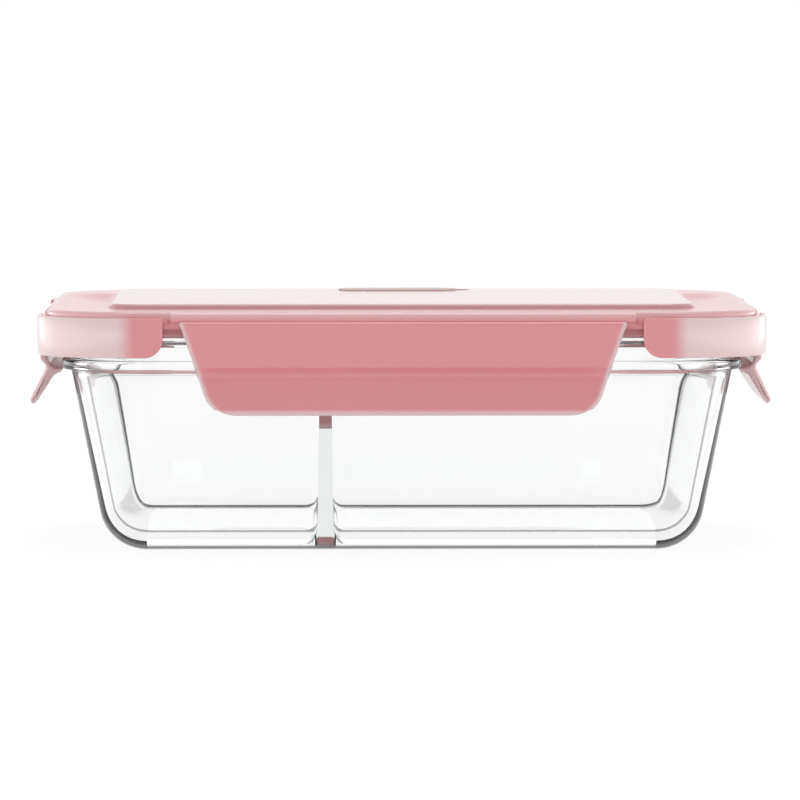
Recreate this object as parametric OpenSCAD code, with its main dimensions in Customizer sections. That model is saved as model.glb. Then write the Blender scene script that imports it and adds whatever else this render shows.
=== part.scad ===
// Glass lunch box with two compartments and a clip-on lid with four flap latches.
// The origin is the centre of the flat base. X is the long side, -Y the front, +Z up.
// Lengths are in millimetres and angles in degrees.

/* [Glass container] */
// Outer length of the glass wall under the flange, along X
glass_l = 194.4; // [160:0.2:240]
// Outer width of the glass wall under the flange, along Y
glass_w = 143.4; // [110:0.2:190]
// Height from the base to the top of the rim
glass_h = 66.4; // [60:0.2:90]
// Horizontal thickness of the glass wall
glass_wall = 4; // [3:0.1:5.5]
// Thickness of the glass floor
glass_floor = 4.6; // [3.5:0.1:7]
// Slope of the walls from the vertical
glass_draft = 11.2; // [8:0.1:15]
// Radius between the base and the walls, outside
base_fillet = 14; // [10:0.5:16]
// Plan radius of the flat base at its corners
base_corner_r = 0.5; // [0.3:0.1:6]
// How far the flange stands out from the wall
flange_reach = 2.8; // [2:0.1:4]
// Thickness of the flange
flange_t = 3.2; // [2.4:0.1:5]
// Distance from the top of the rim down to the underside of the flange
flange_drop = 13; // [11:0.1:18]

/* [Divider] */
// Offset of the divider from the middle of the box, along X
divider_x = -22.5; // [-40:0.5:-20]
// Thickness of the divider at its rounded top
divider_top_t = 3; // [2.4:0.1:4]
// Thickness of the divider just above its foot
divider_foot_t = 4.7; // [4:0.1:6]
// Distance from the rim down to the top of the divider
divider_drop = 3.9; // [3.6:0.1:8]
// Radius between the divider and the floor
divider_fillet = 4; // [2:0.5:6]

/* [Lid] */
// Width of the lid outside the glass wall, on each side
lid_overhang = 9.8; // [9:0.1:13]
// Plan radius of the lid at its corners
lid_corner_r = 28; // [24:0.5:32]
// Thickness of the top plate
plate_t = 2.2; // [1.8:0.1:3]
// Thickness of the walls that hold the rim gasket
channel_wall = 1.6; // [1.2:0.1:2]
// Gap between the channel's outer wall and the glass
channel_gap = 0.4; // [0.2:0.1:0.8]
// Distance from the top plate's top down to the foot of the channel's outer wall
channel_depth = 7.2; // [6:0.1:9]
// Thickness of a corner skirt
skirt_t = 1.4; // [1.2:0.1:2]
// Height of a corner skirt
skirt_h = 11.6; // [8:0.1:12]
// How far a skirt's top lies below the top plate's top
skirt_drop = 1.7; // [1.2:0.1:2.5]
// Length of a skirt along each side, from the corner of the lid's outline
skirt_arm = 37.4; // [33:0.1:42]
// Radius at the foot of a skirt's ends
skirt_end_r = 5.5; // [3:0.1:7]
// Width of the open slot between a corner skirt and the plate
slot_w = 1.6; // [1.2:0.1:2]
// Depth of that slot below the skirt's top
slot_depth = 1.1; // [0.6:0.1:1.4]
// How far the slot runs past the free ends of a skirt
slot_end = 1.8; // [1:0.1:3]
// Width of the rail under the plate's edge, which the latches hang from
rail_w = 3; // [2.6:0.1:4]
// Gap between that rail and the inside of a skirt
rail_gap = 0.4; // [0.2:0.1:0.6]
// Height of the rail below the slot's floor
rail_h = 2.2; // [1.6:0.1:3]
// Width of the slope along the top plate's edge
slope_w = 1.6; // [1:0.1:2.4]
// Height of that slope
slope_h = 1.2; // [0.8:0.1:1.6]
// Gap between the wall inside the rim and the glass
plug_gap = 1.8; // [1.2:0.1:2.4]
// Gap between the foot of that wall and the level of the divider's top
plug_rise = 0.4; // [0.2:0.1:1]

/* [Top panel] */
// Distance from the lid's ends in to the panel
panel_end_margin = 21; // [19:0.5:30]
// Distance from the lid's front and back in to the panel
panel_side_margin = 25.5; // [20:0.5:32]
// Thickness of the panel
panel_t = 2.2; // [1.8:0.1:3]
// Depth of the recess in the plate that the panel sits in
panel_seat = 0.9; // [0.5:0.1:1.2]
// Plan radius of the panel at its corners
panel_corner_r = 8; // [5:0.5:16]
// Gap round the panel in its recess
panel_gap = 0.3; // [0.2:0.1:0.6]
// Radius along the panel's top edge
panel_edge_r = 1.2; // [0.3:0.1:1.3]

/* [Seals] */
// Thickness of the gasket over the rim
gasket_t = 2.4; // [2:0.1:3.5]
// Gap between a seal and the glass below it when the lid is on
seal_gap = 0.2; // [0.1:0.05:0.4]
// Side gap between a seal and the walls that hold it
seal_side_gap = 0.1; // [0.05:0.05:0.2]
// How far the gasket's lip reaches down inside the rim
lip_drop = 2.4; // [1.8:0.1:3]
// Gap between that lip and the glass
lip_gap = 0.3; // [0.2:0.05:0.6]
// Width of the bevels along the gasket's foot
gasket_bevel = 0.6; // [0.3:0.1:1]
// Width of the strip that seals the divider
strip_w = 4.2; // [3.6:0.1:5]
// Thickness of the two ribs that hold the strip
rib_t = 1.2; // [1:0.1:1.8]
// Height of the ribs' feet above the divider
rib_rise = 2.9; // [2.4:0.1:3.6]

/* [Latches] */
// Gap between a latch's end and the corner skirt beside it, at the hinge
latch_end_gap = 4.6; // [2.6:0.1:10]
// Radius of the hinge bead along a latch's top edge
bead_r = 1.4; // [1.2:0.05:1.6]
// Thickness of a latch's upper plate
latch_t = 2; // [1.8:0.1:2.2]
// Height of a latch's foot below the underside of the flange
latch_drop = 12; // [10:0.1:16]
// How far the tab's tip stands out past the upper plate
tab_flare = 3.3; // [2:0.1:5]
// Thickness of the tab's rounded foot
tab_foot_t = 1.9; // [1.6:0.1:2.4]
// Depth of the crease that runs along a latch above its tab
crease = 1.6; // [1:0.1:1.7]
// Slope of a latch's ends from the vertical
latch_end_slope = 19.2; // [10:0.1:22]
// Radius of a latch's lower corners
latch_corner_r = 10; // [6:0.5:12]
// Gap round a hinge bead
hinge_gap = 0.05; // [0.03:0.01:0.1]
// Gap between the ends of a hinge bead and its hollow
bead_end_gap = 0.6; // [0.4:0.1:1]
// Gap between a snap ridge and the edge of the flange, with the latch hanging
ridge_gap = 0.4; // [0.3:0.05:0.6]

/* [Vent] */
// Distance from the panel's back edge to the middle of the vent
vent_margin = 12; // [11:0.5:20]
// Length of the vent, flap and anchor together
vent_l = 36; // [32:1:40]
// Width of the vent
vent_w = 16; // [14:1:20]
// Plan radius of the vent at its corners
vent_corner_r = 6; // [3:0.5:6.5]
// Length of the fixed anchor
anchor_l = 8; // [7:0.5:9]
// Thickness of the flap
flap_t = 1.5; // [1.2:0.1:1.8]
// Depth of the flap's pocket in the panel
pocket_depth = 1.2; // [0.8:0.1:1.4]
// Gap round the flap in its pocket
pocket_gap = 0.3; // [0.2:0.05:0.5]
// Radius of the vent hole and the anchor's stem hole
vent_hole_r = 2.5; // [2:0.1:3]
// Distance from the flap's root to the vent hole
vent_reach = 16; // [14:0.5:18]
// How far the plug and the stem reach below the top plate
stem_drop = 1.2; // [1:0.1:1.4]

/* [Hidden] */
$fn = 96;
overlap = 0.3;

glass_colour = [0.84, 0.91, 0.91, 0.5];
lid_colour = "#E2A6AA";
panel_colour = "#F0DEDC";
latch_colour = "#D98F96";
silicone_colour = "#EDE6E4";
vent_colour = "#D9CAC8";

// Glass, as distances out from the middle on the X side and heights above the base.
glass_side = glass_l / 2;
side_step = (glass_l - glass_w) / 2;
flange_z = glass_h - flange_drop;
flange_side = glass_side + flange_reach;
rim_round = glass_wall * 0.4;
inner_side = glass_side - glass_wall;
inner_fillet = max(base_fillet - glass_wall, 3);
base_side = glass_side - (flange_z - base_fillet) * tan(glass_draft)
          - base_fillet / cos(glass_draft);
inner_base_side = inner_side - (flange_z - glass_floor - inner_fillet) * tan(glass_draft)
                - inner_fillet / cos(glass_draft);
glass_cx = floor((base_side - base_corner_r) * 50) / 50;
glass_cy = glass_cx - side_step;
divider_z = glass_h - divider_drop;

// Lid, from the same middle.
plate_z = glass_h + seal_gap + gasket_t;
lid_z = plate_z + plate_t;
lid_side = glass_side + lid_overhang;
lid_cx = lid_side - lid_corner_r;
lid_cy = lid_cx - side_step;
skirt_top = lid_z - skirt_drop;
skirt_foot = skirt_top - skirt_h;
slot_floor = skirt_top - slot_depth;
tie_w = rail_gap + 0.6;
skirt_in = lid_side - skirt_t;
rail_side = skirt_in - rail_gap;
rail_in = rail_side - rail_w;
rail_foot = slot_floor - rail_h;
slot_run = skirt_arm + slot_end;
channel_out = glass_side + channel_gap + channel_wall;
channel_foot = lid_z - channel_depth;
plug_out = inner_side - plug_gap;
plug_in = plug_out - channel_wall;
plug_foot = divider_z + plug_rise;
rib_foot = divider_z + rib_rise;

// Latches.
long_latch_l = 2 * (lid_side - skirt_arm - latch_end_gap);
side_latch_l = long_latch_l - 2 * side_step;
axis_side = lid_side - bead_r;
axis_z = slot_floor - bead_r;
latch_in = lid_side - latch_t;
latch_foot = flange_z - latch_drop;
ridge_side = flange_side + ridge_gap;

// Panel and vent.
panel_a = lid_side - panel_end_margin;
panel_b = lid_side - side_step - panel_side_margin;
vent_y = panel_b - vent_margin;
seat_z = lid_z - panel_seat;
panel_z = seat_z + panel_t;
pocket_z = panel_z - pocket_depth;
flap_z = pocket_z + hinge_gap;
vent_side = vent_l / 2;
pivot_x = anchor_l - vent_side;
pivot_z = flap_z + flap_t / 2;
anchor_stem_x = anchor_l / 2 - vent_side;
plug_x = pivot_x + vent_reach;

// Points of an arc round centre c, from angle a to angle b, in n steps.
function arc(c, r, a, b, n = 6) =
  [for (i = [0:n]) c + r * [cos(a + (b - a) * i / n), sin(a + (b - a) * i / n)]];

// Mirror images of a closed half outline, joined across the vertical through x.
function both_sides(x, half) =
  concat([for (p = half) [x + p[0], p[1]]],
         [for (i = [len(half) - 1:-1:0]) [x - half[i][0], half[i][1]]]);

// Carries a profile round a rounded rectangle. The profile's x is the distance out from
// the line through the corner centres at (cx, cy), and its y is the height.
module around(cx, cy) {
  for (turn = [0:3])
    translate([turn % 3 == 0 ? cx : -cx, turn < 2 ? cy : -cy, 0])
      rotate([0, 0, 90 * turn])
        rotate_extrude(angle = 90) children();
  for (turn = [0, 180]) {
    rotate([0, 0, turn]) straight(cx, 2 * cy) children();
    rotate([0, 0, turn + 90]) straight(cy, 2 * cx) children();
  }
}

// A profile run straight along Y at distance offset from the middle.
module straight(offset, length) {
  translate([offset, 0, 0])
    rotate([90, 0, 0])
      linear_extrude(length, center = true) children();
}

// The same as around, filled to the middle between heights low and high.
module block(cx, cy, low, high) {
  around(cx, cy) children();
  translate([-cx, -cy, low]) cube([2 * cx, 2 * cy, high - low]);
}

// A plain slab with rounded corners: half sizes a and b, plan radius r.
module slab(a, b, r, low, high) {
  block(a - r, b - r, low, high)
    translate([0, low]) square([r, high - low]);
}

// Draws a piece in the +X +Y quarter into all four quarters.
module four_quarters() {
  for (mx = [0, 1], my = [0, 1])
    mirror([mx, 0, 0]) mirror([0, my, 0]) children();
}

// ---- Glass container ----

module glass_outline() {
  bulge = flange_t / 4;
  points = concat(
    [[glass_cx, 0]],
    arc([base_side, base_fillet], base_fillet, -90, -glass_draft, 10),
    [[glass_side, flange_z]],
    arc([flange_side - bulge, flange_z + bulge], bulge, -90, 0, 3),
    arc([flange_side - bulge, flange_z + flange_t - bulge], bulge, 0, 90, 3),
    [[glass_side, flange_z + flange_t]],
    arc([glass_side - rim_round, glass_h - rim_round], rim_round, 0, 90, 5),
    [[glass_cx, glass_h]]);
  polygon([for (p = points) [p[0] - glass_cx, p[1]]]);
}

module cavity_outline() {
  points = concat(
    [[glass_cx, glass_floor]],
    arc([inner_base_side, glass_floor + inner_fillet], inner_fillet, -90, -glass_draft, 10),
    [[inner_side, flange_z]],
    arc([inner_side + rim_round, glass_h - rim_round], rim_round, 180, 90, 5),
    [[inner_side + rim_round, glass_h + 1], [glass_cx, glass_h + 1]]);
  polygon([for (p = points) [p[0] - glass_cx, p[1]]]);
}

module divider_outline() {
  top_r = divider_top_t / 2;
  foot = divider_foot_t / 2;
  foot_z = glass_floor + divider_fillet;
  half = concat(
    [[foot + divider_fillet, 0], [foot + divider_fillet, glass_floor]],
    arc([foot + divider_fillet, foot_z], divider_fillet, 270, 180, 5),
    arc([0, divider_z - top_r], top_r, 0, 75, 4));
  polygon(both_sides(divider_x, half));
}

module glass_container() {
  color(glass_colour) difference() {
    block(glass_cx, glass_cy, 0, glass_h) glass_outline();
    difference() {
      block(glass_cx, glass_cy, glass_floor, glass_h + 1) cavity_outline();
      rotate([90, 0, 0]) linear_extrude(glass_w, center = true) divider_outline();
    }
  }
}

// ---- Lid ----

module plate_outline() {
  points = [[lid_cx, plate_z], [rail_in, plate_z], [rail_in, rail_foot],
            [rail_side, rail_foot], [rail_side, lid_z - slope_h],
            [rail_side - slope_w, lid_z], [lid_cx, lid_z]];
  polygon([for (p = points) [p[0] - lid_cx, p[1]]]);
}

module channel_wall_ring(outer, foot) {
  around(glass_cx, glass_cy)
    translate([outer - channel_wall - glass_cx, foot])
      square([channel_wall, plate_z + overlap - foot]);
}

// One skirt's straight arm along X, from its free end to the corner's centre line.
module skirt_plate(end) {
  points = concat(
    arc([end + skirt_end_r, skirt_foot + skirt_end_r], skirt_end_r, 270, 180, 6),
    [[end, skirt_top], [0, skirt_top], [0, skirt_foot]]);
  translate([0, lid_corner_r, 0])
    rotate([90, 0, 0])
      linear_extrude(skirt_t) polygon(points);
}

// A bar along X under the slot, which ties a skirt's arm to the plate.
module skirt_tie(end) {
  translate([end, lid_corner_r - skirt_t - tie_w, rail_foot])
    cube([-end, tie_w + skirt_t / 2, slot_floor - rail_foot]);
}

// A skirt and its ties round the corner at (lid_cx, lid_cy), drawn from that corner's centre.
module corner_skirt() {
  end = lid_corner_r - skirt_arm;
  translate([lid_cx, lid_cy, 0]) {
    rotate_extrude(angle = 90) {
      translate([lid_corner_r - skirt_t, skirt_foot]) square([skirt_t, skirt_h]);
      translate([lid_corner_r - skirt_t - tie_w, rail_foot])
        square([tie_w + skirt_t / 2, slot_floor - rail_foot]);
    }
    for (flip = [0, 1])
      mirror([flip, -flip, 0]) {
        skirt_plate(end);
        skirt_tie(end);
      }
  }
}

module corner_slot() {
  inner = lid_corner_r - skirt_t - slot_w;
  end = lid_corner_r - slot_run;
  translate([lid_cx, lid_cy, 0]) {
    rotate_extrude(angle = 90)
      translate([inner, slot_floor]) square([slot_w, plate_t + slot_w]);
    for (flip = [0, 1])
      mirror([flip, -flip, 0])
        translate([end, inner, slot_floor])
          cube([-end, slot_w, plate_t + slot_w]);
  }
}

// The hollow that a hinge bead of the given radius turns in, on all four sides.
module hinge_lines(radius, extra) {
  for (turn = [0, 180]) {
    rotate([0, 0, turn])
      translate([0, side_step - axis_side, axis_z])
        rotate([0, 90, 0]) cylinder(r = radius, h = long_latch_l + extra, center = true);
    rotate([0, 0, turn])
      translate([axis_side, 0, axis_z])
        rotate([90, 0, 0]) cylinder(r = radius, h = side_latch_l + extra, center = true);
  }
}

module vent_holes(low, high) {
  for (x = [anchor_stem_x, plug_x])
    translate([x, vent_y, low]) cylinder(r = vent_hole_r, h = high - low);
}

module strip_ribs() {
  reach = plug_in - side_step + overlap;
  slot = strip_w / 2 + seal_side_gap;
  for (x = [divider_x - slot - rib_t, divider_x + slot])
    translate([x, -reach, rib_foot])
      cube([rib_t, 2 * reach, plate_z + overlap - rib_foot]);
}

module lid_shell() {
  color(lid_colour) difference() {
    union() {
      block(lid_cx, lid_cy, plate_z, lid_z) plate_outline();
      channel_wall_ring(channel_out, channel_foot);
      channel_wall_ring(plug_out, plug_foot);
      strip_ribs();
      four_quarters() corner_skirt();
    }
    four_quarters() corner_slot();
    hinge_lines(bead_r + hinge_gap, 2 * bead_end_gap);
    slab(panel_a + panel_gap, panel_b + panel_gap, panel_corner_r + panel_gap,
         seat_z, lid_z + 1);
    vent_holes(plate_z - 1, lid_z);
  }
}

module panel_outline() {
  centre = [panel_corner_r - panel_edge_r, panel_z - panel_edge_r];
  polygon(concat([[0, seat_z], [panel_corner_r, seat_z]],
                 arc(centre, panel_edge_r, 0, 90, 4),
                 [[0, panel_z]]));
}

module lid_panel() {
  color(panel_colour) difference() {
    block(panel_a - panel_corner_r, panel_b - panel_corner_r, seat_z, panel_z)
      panel_outline();
    translate([0, vent_y, 0])
      slab(vent_side + pocket_gap, vent_w / 2 + pocket_gap, vent_corner_r + pocket_gap,
           pocket_z, panel_z + 1);
    translate([vent_side, vent_y, pocket_z]) cylinder(r = vent_w / 4, h = panel_t);
    vent_holes(seat_z - 1, panel_z);
  }
}

// ---- Seals ----

module rim_gasket() {
  out = glass_side + channel_gap - seal_side_gap;
  in = plug_out + seal_side_gap;
  lip = inner_side - lip_gap;
  low = glass_h + seal_gap;
  foot = low - lip_drop;
  points = [[in, plate_z], [out, plate_z], [out, low + gasket_bevel],
            [out - gasket_bevel, low], [lip + gasket_bevel, low],
            [lip, low - gasket_bevel], [lip - lip_gap, foot + lip_gap],
            [lip - gasket_bevel, foot], [in, foot + lip_gap]];
  color(silicone_colour)
    around(glass_cx, glass_cy)
      polygon([for (p = points) [p[0] - glass_cx, p[1]]]);
}

module divider_seal() {
  half = strip_w / 2;
  low = divider_z + seal_gap;
  reach = plug_in - side_step - lip_gap;
  color(silicone_colour)
    rotate([90, 0, 0])
      linear_extrude(2 * reach, center = true)
        polygon(both_sides(divider_x, concat(
          arc([0, low + half], half, -90, 0, 8),
          [[half, plate_z]])));
}

// ---- Latches ----

// Section of a latch: the distance out from the middle of the box, and the height.
module latch_section() {
  tip = lid_side + tab_flare;
  r = tab_foot_t / 2;
  neck = latch_in - crease;
  face = [[latch_in, axis_z], [lid_side, axis_z],
          [lid_side, flange_z + crease + 0.4], [lid_side - crease / 3, flange_z + 1.1],
          [lid_side - crease, flange_z + 0.2], [lid_side - crease, flange_z - 0.6]];
  foot = arc([tip - r, latch_foot + r], r, 20, -160, 6);
  ridge = [[neck - 0.2, flange_z - 2.9], [ridge_side + 0.6, flange_z - 1.9],
           [ridge_side, flange_z - 1.3], [ridge_side, flange_z - 0.9],
           [ridge_side + 1.8, flange_z - 0.6], [latch_in - 1, flange_z + 0.6],
           [latch_in, flange_z + latch_t + 1]];
  polygon(concat(face, foot, ridge));
}

// Front view of a latch, whose ends slope in towards its rounded foot.
module latch_front_view(length) {
  top = axis_z + bead_r + 1;
  spread = latch_end_slope / 2 + 45;
  run = (axis_z + bead_r - latch_foot) * tan(latch_end_slope);
  foot = length / 2 - run;
  centre = [foot - latch_corner_r / tan(spread), latch_foot + latch_corner_r];
  half = concat(
    arc(centre, latch_corner_r, -90, -latch_end_slope, 8),
    [[length / 2 + tan(latch_end_slope), top]]);
  polygon(both_sides(0, half));
}

// A latch on the -Y side. Its section is drawn for the X side, which lies step further out.
module latch(length, step) {
  color(latch_colour) {
    intersection() {
      rotate([0, 0, -90])
        translate([-step, 0, 0])
          rotate([90, 0, 0])
            linear_extrude(length + 4, center = true) latch_section();
      translate([0, step - ridge_side + 1, 0])
        rotate([90, 0, 0])
          linear_extrude(lid_side + tab_flare - ridge_side + 2) latch_front_view(length);
    }
    translate([0, step - axis_side, axis_z])
      rotate([0, 90, 0]) cylinder(r = bead_r, h = length, center = true);
  }
}

module latch_front() {
  latch(long_latch_l, side_step);
}

module latch_back() {
  rotate([0, 0, 180]) latch(long_latch_l, side_step);
}

module latch_left() {
  rotate([0, 0, 270]) latch(side_latch_l, 0);
}

module latch_right() {
  rotate([0, 0, 90]) latch(side_latch_l, 0);
}

// ---- Vent ----

module vent_pad(low, high) {
  translate([0, vent_y, 0])
    slab(vent_side, vent_w / 2, vent_corner_r, low, high);
}

module vent_flap() {
  plug_r = vent_hole_r - pocket_gap / 2;
  color(vent_colour) {
    intersection() {
      vent_pad(flap_z - 1, flap_z + flap_t + 1);
      translate([0, vent_y, 0])
        rotate([90, 0, 0])
          linear_extrude(vent_w + 2, center = true) {
            translate([pivot_x, pivot_z]) circle(flap_t / 2);
            translate([pivot_x, flap_z]) square([vent_l, flap_t]);
          }
    }
    translate([plug_x, vent_y, plate_z - stem_drop / 2])
      cylinder(r1 = plug_r - pocket_gap, r2 = plug_r,
               h = flap_z + overlap - plate_z + stem_drop / 2);
  }
}

module vent_anchor() {
  stem_r = vent_hole_r - hinge_gap;
  color(vent_colour) {
    intersection() {
      vent_pad(pocket_z, flap_z + flap_t);
      translate([-vent_l, 0, 0])
        cube([vent_l + pivot_x - flap_t / 2 - 2 * hinge_gap, 2 * vent_y, panel_z + 5]);
    }
    translate([anchor_stem_x, vent_y, plate_z - stem_drop]) {
      cylinder(r = stem_r, h = pocket_z + overlap - plate_z + stem_drop);
      cylinder(r1 = stem_r - 0.4, r2 = stem_r + 0.7, h = stem_drop);
    }
  }
}

glass_container();
lid_shell();
lid_panel();
rim_gasket();
divider_seal();
latch_front();
latch_back();
latch_left();
latch_right();
vent_flap();
vent_anchor();
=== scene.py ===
"""Glass lunch box with two compartments and a clip-on lid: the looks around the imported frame.

Lengths are worked out in millimetres and put into each mesh in metres. Each section below
makes one piece, in the order in which the box is put together. In a profile, the first number
is how far out a point is from the middle, and the second is its height.
"""
import bmesh
import bpy
import numpy as np
from math import cos, pi, radians, sin, tan
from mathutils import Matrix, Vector


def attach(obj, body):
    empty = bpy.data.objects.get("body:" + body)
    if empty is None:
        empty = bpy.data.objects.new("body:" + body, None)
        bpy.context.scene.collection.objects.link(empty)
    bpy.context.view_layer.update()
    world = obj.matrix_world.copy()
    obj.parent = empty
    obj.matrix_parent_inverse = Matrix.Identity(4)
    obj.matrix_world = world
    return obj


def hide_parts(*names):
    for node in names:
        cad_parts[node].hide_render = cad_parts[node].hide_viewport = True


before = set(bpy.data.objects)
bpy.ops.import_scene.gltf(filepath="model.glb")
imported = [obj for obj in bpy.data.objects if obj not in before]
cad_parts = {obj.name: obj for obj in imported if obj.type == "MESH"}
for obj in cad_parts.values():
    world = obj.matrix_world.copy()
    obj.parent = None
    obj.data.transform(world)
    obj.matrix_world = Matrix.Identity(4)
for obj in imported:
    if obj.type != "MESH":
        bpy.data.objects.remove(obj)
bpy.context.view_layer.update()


# ---- Glass box --------------------------------------------------------------------------
# Clear pressed glass, 4 mm thick, made in one pressing with its divider, its flange and its
# rounded rim, then fire polished, so every edge is soft and the surface is very smooth.

GLASS_CX, GLASS_CY = 74.62, 49.12      # the point that each upright corner turns about
GLASS_SIDE, INNER_SIDE = 97.2, 93.2    # the upright band under the rim, outside and inside
FLOOR, RIM = 4.6, 66.4
FLANGE_FOOT, FLANGE_TOP, FLANGE_TIP = 53.4, 56.6, 99.1
FLANGE_ROUND, FILLET_ABOVE, FILLET_BELOW = 0.9, 0.8, 0.5
FLOOR_ROUND, FOOT_ROUND, RIM_ROUND = 10.0, 14.0, 1.6
RIM_STEPS = 7
DRAFT = radians(11.2)
DIVIDER_X, DIVIDER_TOP, DIVIDER_FOOT, DIVIDER_Z = -22.5, 1.5, 2.35, 62.5
DIVIDER_FILLET = 4.0


def arc(cx, cz, r, start, stop, n):
    """n + 1 points of a circle: (cx, cz) + r (cos a, sin a), for a from start to stop degrees."""
    a = np.radians(np.linspace(start, stop, n + 1))
    return np.stack([cx + r * np.cos(a), cz + r * np.sin(a)], 1)


def line(a, b, n):
    """n points from a towards b, a included and b left out."""
    t = np.arange(n)[:, None] / n
    return np.array(a, float) * (1 - t) + np.array(b, float) * t


def loop_stations(cx, cy, xs, ys, n):
    """Stations of a rounded rectangle, anticlockwise from the +X side's -Y end.

    Each has a foot on the rectangle of half sizes cx, cy and a direction of unit length. The
    point at distance d out is foot + d * direction, so corners turn about the foot (cx, cy).
    """
    turn = np.linspace(0, pi / 2, n + 2)[1:-1]
    feet, out = [], []
    for k, (sx, sy) in enumerate([(1, 1), (-1, 1), (-1, -1), (1, -1)]):
        side = np.sort(ys if k % 2 == 0 else xs)[::1 if k in (0, 3) else -1]
        fixed = (cx, cy, -cx, -cy)[k]
        normal = [(1, 0), (0, 1), (-1, 0), (0, -1)][k]
        feet.append(np.stack([np.full(len(side), fixed), side], 1) if k % 2 == 0
                    else np.stack([side, np.full(len(side), fixed)], 1))
        out.append(np.tile(normal, (len(side), 1)))
        a = turn + k * pi / 2
        feet.append(np.tile((sx * cx, sy * cy), (n, 1)))
        out.append(np.stack([np.cos(a), np.sin(a)], 1))
    return np.concatenate(feet), np.concatenate(out).astype(float)


def grid_faces(rows, columns, close_rows=False, close_columns=False):
    """Quads of a grid of rows x columns points, numbered along each row in turn."""
    i = np.arange(rows if close_rows else rows - 1)[:, None]
    j = np.arange(columns if close_columns else columns - 1)[None, :]
    i2, j2 = (i + 1) % rows, (j + 1) % columns
    return np.stack([i * columns + j, i * columns + j2, i2 * columns + j2, i2 * columns + j],
                    -1).reshape(-1, 4)


def smooth_under(obj, degrees):
    """Shades an object smooth, with a sharp edge wherever it turns by more than an angle."""
    with bpy.context.temp_override(object=obj, active_object=obj, selected_editable_objects=[obj]):
        bpy.ops.object.shade_smooth_by_angle(angle=radians(degrees))


def piece_from(name, parts, smooth=35):
    """A mesh object from parts of (points in mm, faces), smooth where it turns under an angle."""
    points, faces, start = [], [], 0
    for p, f in parts:
        points.append(np.asarray(p, float))
        faces += [tuple(int(v) + start for v in face) for face in f]
        start += len(p)
    mesh = bpy.data.meshes.new(name)
    mesh.from_pydata((np.concatenate(points) / 1000).tolist(), [], faces)
    mesh.validate()
    obj = bpy.data.objects.new(name, mesh)
    bpy.context.collection.objects.link(obj)
    mesh.polygons.foreach_set("use_smooth", [True] * len(mesh.polygons))
    mesh.update()
    smooth_under(obj, smooth)
    return obj


def welded(obj, distance=1e-6):
    """Merges an object's doubled points and turns its faces outwards."""
    work = bmesh.new()
    work.from_mesh(obj.data)
    bmesh.ops.remove_doubles(work, verts=work.verts, dist=distance)
    bmesh.ops.dissolve_degenerate(work, edges=work.edges, dist=distance)
    bmesh.ops.recalc_face_normals(work, faces=work.faces)
    work.to_mesh(obj.data)
    work.free()
    obj.data.update()
    return obj


def places_of(elements, key):
    """Where a mesh's points or faces are, in millimetres: one row of x, y and z each."""
    flat = np.empty(len(elements) * 3)
    elements.foreach_get(key, flat)
    return flat.reshape(-1, 3) * 1000


def store(obj, name, domain, values):
    """Stores a number for each point or face of an object, for its material to read."""
    obj.data.attributes.new(name, "FLOAT", domain).data.foreach_set("value", values)


def linear(hex_colour):
    """The linear colour of an sRGB hex value, with an alpha of 1."""
    c = np.array([int(hex_colour[i:i + 2], 16) for i in (1, 3, 5)]) / 255
    c = np.where(c <= 0.04045, c / 12.92, ((c + 0.055) / 1.055) ** 2.4)
    return (*c.tolist(), 1.0)


def add_node(tree, kind, inputs=None, **settings):
    """Adds a shader node, sets its settings, and gives each named input a value or a link."""
    node = tree.nodes.new(kind)
    for key, value in settings.items():
        setattr(node, key, value)
    for key, value in (inputs or {}).items():
        if isinstance(value, bpy.types.NodeSocket):
            tree.links.new(value, node.inputs[key])
        else:
            node.inputs[key].default_value = value
    return node


# The places of a colour Mix node's sockets, whose names are shared with its other kinds.
MIX_SHARE, MIX_A, MIX_B, MIXED = 0, 6, 7, 2


def new_material(name):
    """An empty node material and its tree."""
    material = bpy.data.materials.new(name)
    material.use_nodes = True
    material.node_tree.nodes.clear()
    return material, material.node_tree


def swept(stations, profile):
    """A profile carried round stations: at (u, z), each point is foot + u * direction, at z."""
    feet, out = stations
    flat = feet[None] + profile[:, None, :1] * out[None]
    heights = np.broadcast_to(profile[:, None, 1:2], flat.shape[:2] + (1,))
    return np.concatenate([flat, heights], 2)


# The wall's profile, from the middle of the floor up to the rim's crest, and down the outside
# to the foot. Each base is the centre of the rounding where that side's slope ends.
inner_base = (INNER_SIDE - (FLANGE_FOOT - FLOOR - FLOOR_ROUND) * tan(DRAFT)
              - FLOOR_ROUND / cos(DRAFT))
outer_base = (GLASS_SIDE - (FLANGE_FOOT - FOOT_ROUND) * tan(DRAFT)
              - FOOT_ROUND / cos(DRAFT))
slope_starts = -np.degrees(DRAFT)
floor_rounding = arc(inner_base, FLOOR + FLOOR_ROUND, FLOOR_ROUND, -90, slope_starts, 9)
inside = np.concatenate([
    [[GLASS_CX, FLOOR]], floor_rounding[:-1],
    line(floor_rounding[-1], (INNER_SIDE, FLANGE_FOOT), 16),
    line((INNER_SIDE, FLANGE_FOOT), (INNER_SIDE, RIM - RIM_ROUND), 4),
    arc(INNER_SIDE + RIM_ROUND, RIM - RIM_ROUND, RIM_ROUND, 180, 90, RIM_STEPS)])
slope_foot = (outer_base + FOOT_ROUND * cos(DRAFT), FOOT_ROUND - FOOT_ROUND * sin(DRAFT))
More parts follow.
